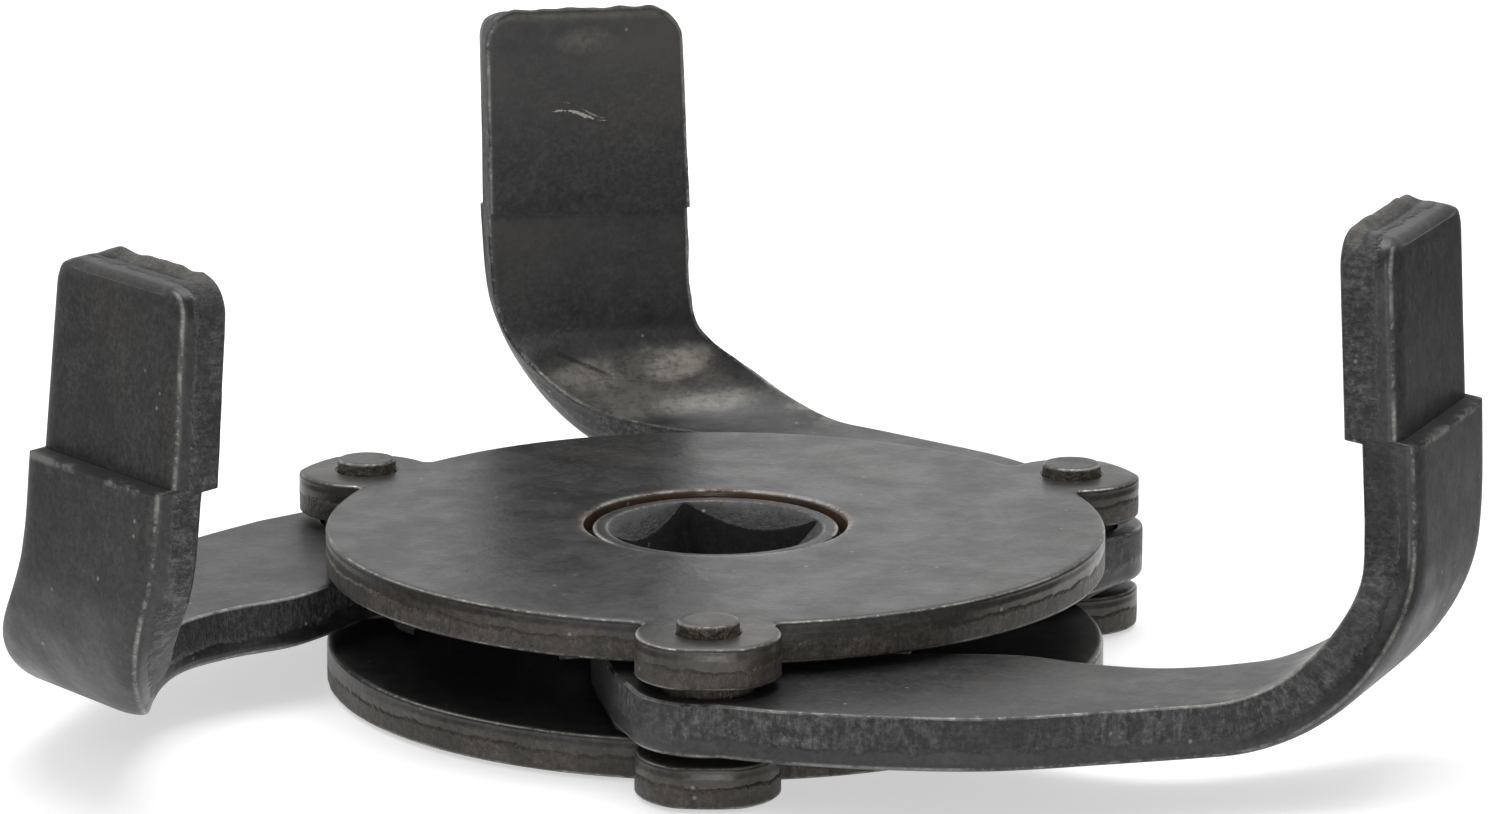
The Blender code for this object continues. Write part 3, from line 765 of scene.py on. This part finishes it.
        # Painted shade on part of the rear jaw's wall; below it, a scratch across the inner face
        shade = n.math("MULTIPLY", n.math("MULTIPLY", wall, n.span(e, 33.0, 36.0)), n.span(s, -9.0, -15.0))
        colour = n.mix(n.math("MULTIPLY", shade, 0.65), colour, SHADED_WALL)
        bow = n.math("MULTIPLY", n.math("SINE", n.math("MULTIPLY", e, 1.3)), 0.22)
        middle = n.math("SUBTRACT", n.math("SUBTRACT", s, bow), n.math("ADD", n.math("MULTIPLY", e, 0.2), 2.75))
        fray = n.span(n.noise(900.0, 4.0, roughness=0.7), 0.4, 0.7)
        reach = n.math("MULTIPLY", n.span(e, 31.6, 33.0), n.span(e, 37.2, 35.6))
        half_width = n.math("MULTIPLY", n.math("MULTIPLY", fray, 0.3), reach)
        gouge = n.math("LESS_THAN", n.math("ABSOLUTE", middle), half_width)
        spread = n.math("MULTIPLY", n.math("SUBTRACT", e, 31.8), 0.14)
        above = n.math("SUBTRACT", n.math("SUBTRACT", middle, 0.2), spread)
        lip = n.math("LESS_THAN", n.math("ABSOLUTE", above), n.math("MULTIPLY", n.math("MULTIPLY", fray, 0.14), reach))
        marks = n.math("MAXIMUM", n.math("MULTIPLY", gouge, 0.8), n.math("MULTIPLY", lip, 0.4))
        worn = n.math("MAXIMUM", worn, n.math("MULTIPLY", marks, inside))

    # Pits and dust
    pit = n.cells(300.0)
    chosen = n.math("GREATER_THAN", n.axis(pit["Color"], 0), 0.84)
    pit_here = n.math("MULTIPLY", n.span(pit["Distance"], 0.09, 0.05), chosen)
    colour = n.mix(n.math("MULTIPLY", pit_here, 0.7), colour, PIT)
    dust = n.cells(620.0)
    chosen = n.math("GREATER_THAN", n.axis(dust["Color"], 1), 0.86)
    dust_here = n.math("MULTIPLY", n.span(dust["Distance"], 0.14, 0.06), chosen)
    colour = n.mix(n.math("MULTIPLY", dust_here, 0.6), colour, DUST)
    colour = n.mix(worn, colour, BARE_STEEL)

    n.link(colour, n.shader.inputs["Base Color"])
    n.link(n.math("ADD", n.math("MULTIPLY", worn, 0.7), 0.1), n.shader.inputs["Metallic"])
    n.link(n.math("SUBTRACT", roughness, n.math("MULTIPLY", worn, 0.08)), n.shader.inputs["Roughness"])
    n.link(n.bump(relief, 0.6, 0.0001), n.shader.inputs["Normal"])
    return n.material


def plain(name, colour, roughness, glow=0.0):
    n = Nodes(name)
    shade = n.mix(n.noise(3.0, 2.0), colour, tuple(c * 0.985 for c in colour))
    n.link(shade, n.shader.inputs["Base Color"])
    n.shader.inputs["Roughness"].default_value = roughness
    n.link(shade, n.shader.inputs["Emission Color"])
    n.shader.inputs["Emission Strength"].default_value = glow
    return n.material


# The scene, in metres

CAMERA_TARGET = (0.0, 0.0, 0.013)
CAMERA_DISTANCE = 0.5632
CAMERA_AZIMUTH, CAMERA_ELEVATION, CAMERA_ROLL = 0.916, 14.25, -0.134
FOCAL_LENGTH = 161.9
SENSOR_WIDTH = 36.0
LENS_SHIFT = (0.0230, 0.0764)
LIGHT_TARGET = (0.0, 0.0, 0.02)
FLOOR_SIZE = 8.0
FLOOR_DROP = 0.0003


def make_camera():
    """A long lens a little above the plates, almost straight in front of the front pin."""
    azimuth, elevation, roll_angle = map(math.radians, (CAMERA_AZIMUTH, CAMERA_ELEVATION, CAMERA_ROLL))
    back = Vector((
        math.sin(azimuth) * math.cos(elevation), -math.cos(azimuth) * math.cos(elevation), math.sin(elevation)
    ))
    right = Vector((math.cos(azimuth), math.sin(azimuth), 0.0))
    up = back.cross(right)
    across = right * math.cos(roll_angle) - up * math.sin(roll_angle)
    upward = right * math.sin(roll_angle) + up * math.cos(roll_angle)
    place = Matrix((
        (across.x, upward.x, back.x, 0.0), (across.y, upward.y, back.y, 0.0), (across.z, upward.z, back.z, 0.0),
        (0.0, 0.0, 0.0, 1.0),
    ))
    place.translation = back * CAMERA_DISTANCE + Vector(CAMERA_TARGET)
    camera = bpy.data.objects.new("camera", bpy.data.cameras.new("camera"))
    bpy.context.scene.collection.objects.link(camera)
    camera.matrix_world = place
    camera.data.sensor_width = SENSOR_WIDTH
    camera.data.lens = FOCAL_LENGTH
    camera.data.shift_x, camera.data.shift_y = LENS_SHIFT
    camera.data.clip_start, camera.data.clip_end = 0.01, 20.0
    bpy.context.scene.camera = camera


def softbox(name, place, size, power):
    light = bpy.data.lights.new(name, "AREA")
    light.shape = "RECTANGLE"
    light.size, light.size_y = size
    light.energy = power
    box = bpy.data.objects.new(name, light)
    bpy.context.scene.collection.objects.link(box)
    box.location = place
    box.rotation_euler = (Vector(LIGHT_TARGET) - Vector(place)).to_track_quat("-Z", "Y").to_euler()


def flag(name, place, turn, size):
    """A grey card that only reflections see: it keeps the bright floor out of the jaws' outer faces."""
    bpy.ops.mesh.primitive_plane_add(size=1.0, location=place)
    card = bpy.context.object
    card.name = name
    card.scale = (*size, 1.0)
    card.rotation_euler = (math.radians(90.0), 0.0, math.radians(turn))
    card.data.materials.append(plain(name + "_grey", (0.05, 0.05, 0.05), 0.9))
    card.visible_camera = card.visible_diffuse = card.visible_shadow = False


def make_stage():
    bpy.ops.mesh.primitive_plane_add(size=FLOOR_SIZE, location=(0.0, 0.0, -FLOOR_DROP))
    floor = bpy.context.object
    floor.name = "floor"
    floor.data.materials.append(plain("floor_white", (0.6, 0.6, 0.6), 0.8, glow=0.9))
    world = bpy.data.worlds.new("studio")
    world.use_nodes = True
    tree = world.node_tree
    place = tree.nodes.new("ShaderNodeTexCoord")
    split = tree.nodes.new("ShaderNodeSeparateXYZ")
    tree.links.new(place.outputs["Generated"], split.inputs[0])
    both = tree.nodes.new("ShaderNodeMath")
    both.operation = "MULTIPLY"
    # Brighter behind the tool than in front of it, and dimmer at the right
    for slot, (axis, span) in enumerate((("Y", (-0.8, 0.9, 0.32, 1.0)), ("X", (0.2, 0.8, 1.0, 0.6)))):
        ramp = tree.nodes.new("ShaderNodeMapRange")
        tree.links.new(split.outputs[axis], ramp.inputs["Value"])
        for key, value in zip(("From Min", "From Max", "To Min", "To Max"), span):
            ramp.inputs[key].default_value = value
        tree.links.new(ramp.outputs["Result"], both.inputs[slot])
    tree.links.new(both.outputs[0], tree.nodes["Background"].inputs["Strength"])
    tree.nodes["Background"].inputs["Color"].default_value = (1.0, 1.0, 1.0, 1.0)
    bpy.context.scene.world = world
    flag("right_flag", (0.125, 0.06, 0.03), 80.0, (0.2, 0.06))
    flag("back_flag", (-0.065, 0.125, 0.012), -15.0, (0.09, 0.028))
    flag("left_flag", (-0.135, 0.0, 0.02), -80.0, (0.16, 0.035))
    softbox("overhead", (0.0, 0.25, 0.95), (0.9, 0.6), 7.5)
    softbox("left_key", (-0.6, -0.35, 0.75), (0.4, 0.4), 0.75)
    softbox("front_card", (0.06, -1.0, 0.16), (0.08, 0.25), 2.4)
    bpy.context.scene.view_settings.view_transform = "Standard"


def main():
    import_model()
    make_camera()
    make_stage()
    plate_paint = black_oxide_and_painted_light(
        "plate_oxide", (0.016, 0.016, 0.0168), (0.023, 0.0228, 0.0228), (0.0285, 0.0243, 0.019), 0.48,
        gloss=0.34, bore_rust=True,
    )
    arm_colours = ((0.0145, 0.0147, 0.0157), (0.021, 0.021, 0.0214), (0.0128, 0.0127, 0.0131), 0.42)
    # The arms' oxide also carries painted shade, painted light and a painted highlight
    arm_paint = black_oxide_and_painted_light("arm_oxide_and_painted_light", *arm_colours, torn_gain=6.5, tip=16.9)
    back_paint = black_oxide_and_painted_light("rear_arm_oxide_and_painted_light", *arm_colours, torn_gain=6.5, tip=19.1, scratch_and_wall_shade=True)
    # The hub's walls are tinted near black: painted shade in its square bore, countersink and gear
    hub_paint_and_wall_shade = black_oxide_and_painted_light(
        "hub_oxide_and_wall_shade", (0.01, 0.01, 0.0102), (0.018, 0.0175, 0.0168), (0.003, 0.003, 0.0028), gloss=0.42, wall_gloss=0.3
    )
    pin_paint = black_oxide_and_painted_light("pin_oxide", (0.022, 0.0212, 0.0195), (0.034, 0.0325, 0.029), (0.036, 0.03, 0.0205))
    pieces = [
        (make_plate("lower_plate", "bottom_plate", plate_paint, 3), "frame", "bottom_plate", "plate_steel"),
        (make_plate("upper_plate", "top_plate", plate_paint, 5), "frame", "top_plate", "plate_steel"),
        (make_hub("square_hub", "drive_hub", hub_paint_and_wall_shade), "drive_gear", "drive_hub", "hub_steel"),
    ]
    for seed, place in enumerate(PIN_ANGLES):
        paint = back_paint if place == "right" else arm_paint
        arm = make_arm(f"arm_{place}_formed", f"jaw_arm_{place}", place, paint, seed + 2)
        pin = make_pin(f"pin_{place}_turned", f"pivot_pin_{place}", pin_paint, seed)
        pieces.append((arm, f"arm_{place}", f"jaw_arm_{place}", "arm_steel"))
        pieces.append((pin, "frame", f"pivot_pin_{place}", "pin_steel"))
    for piece, body, node, slot in pieces:
        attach(piece, body)
        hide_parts(node)


main()
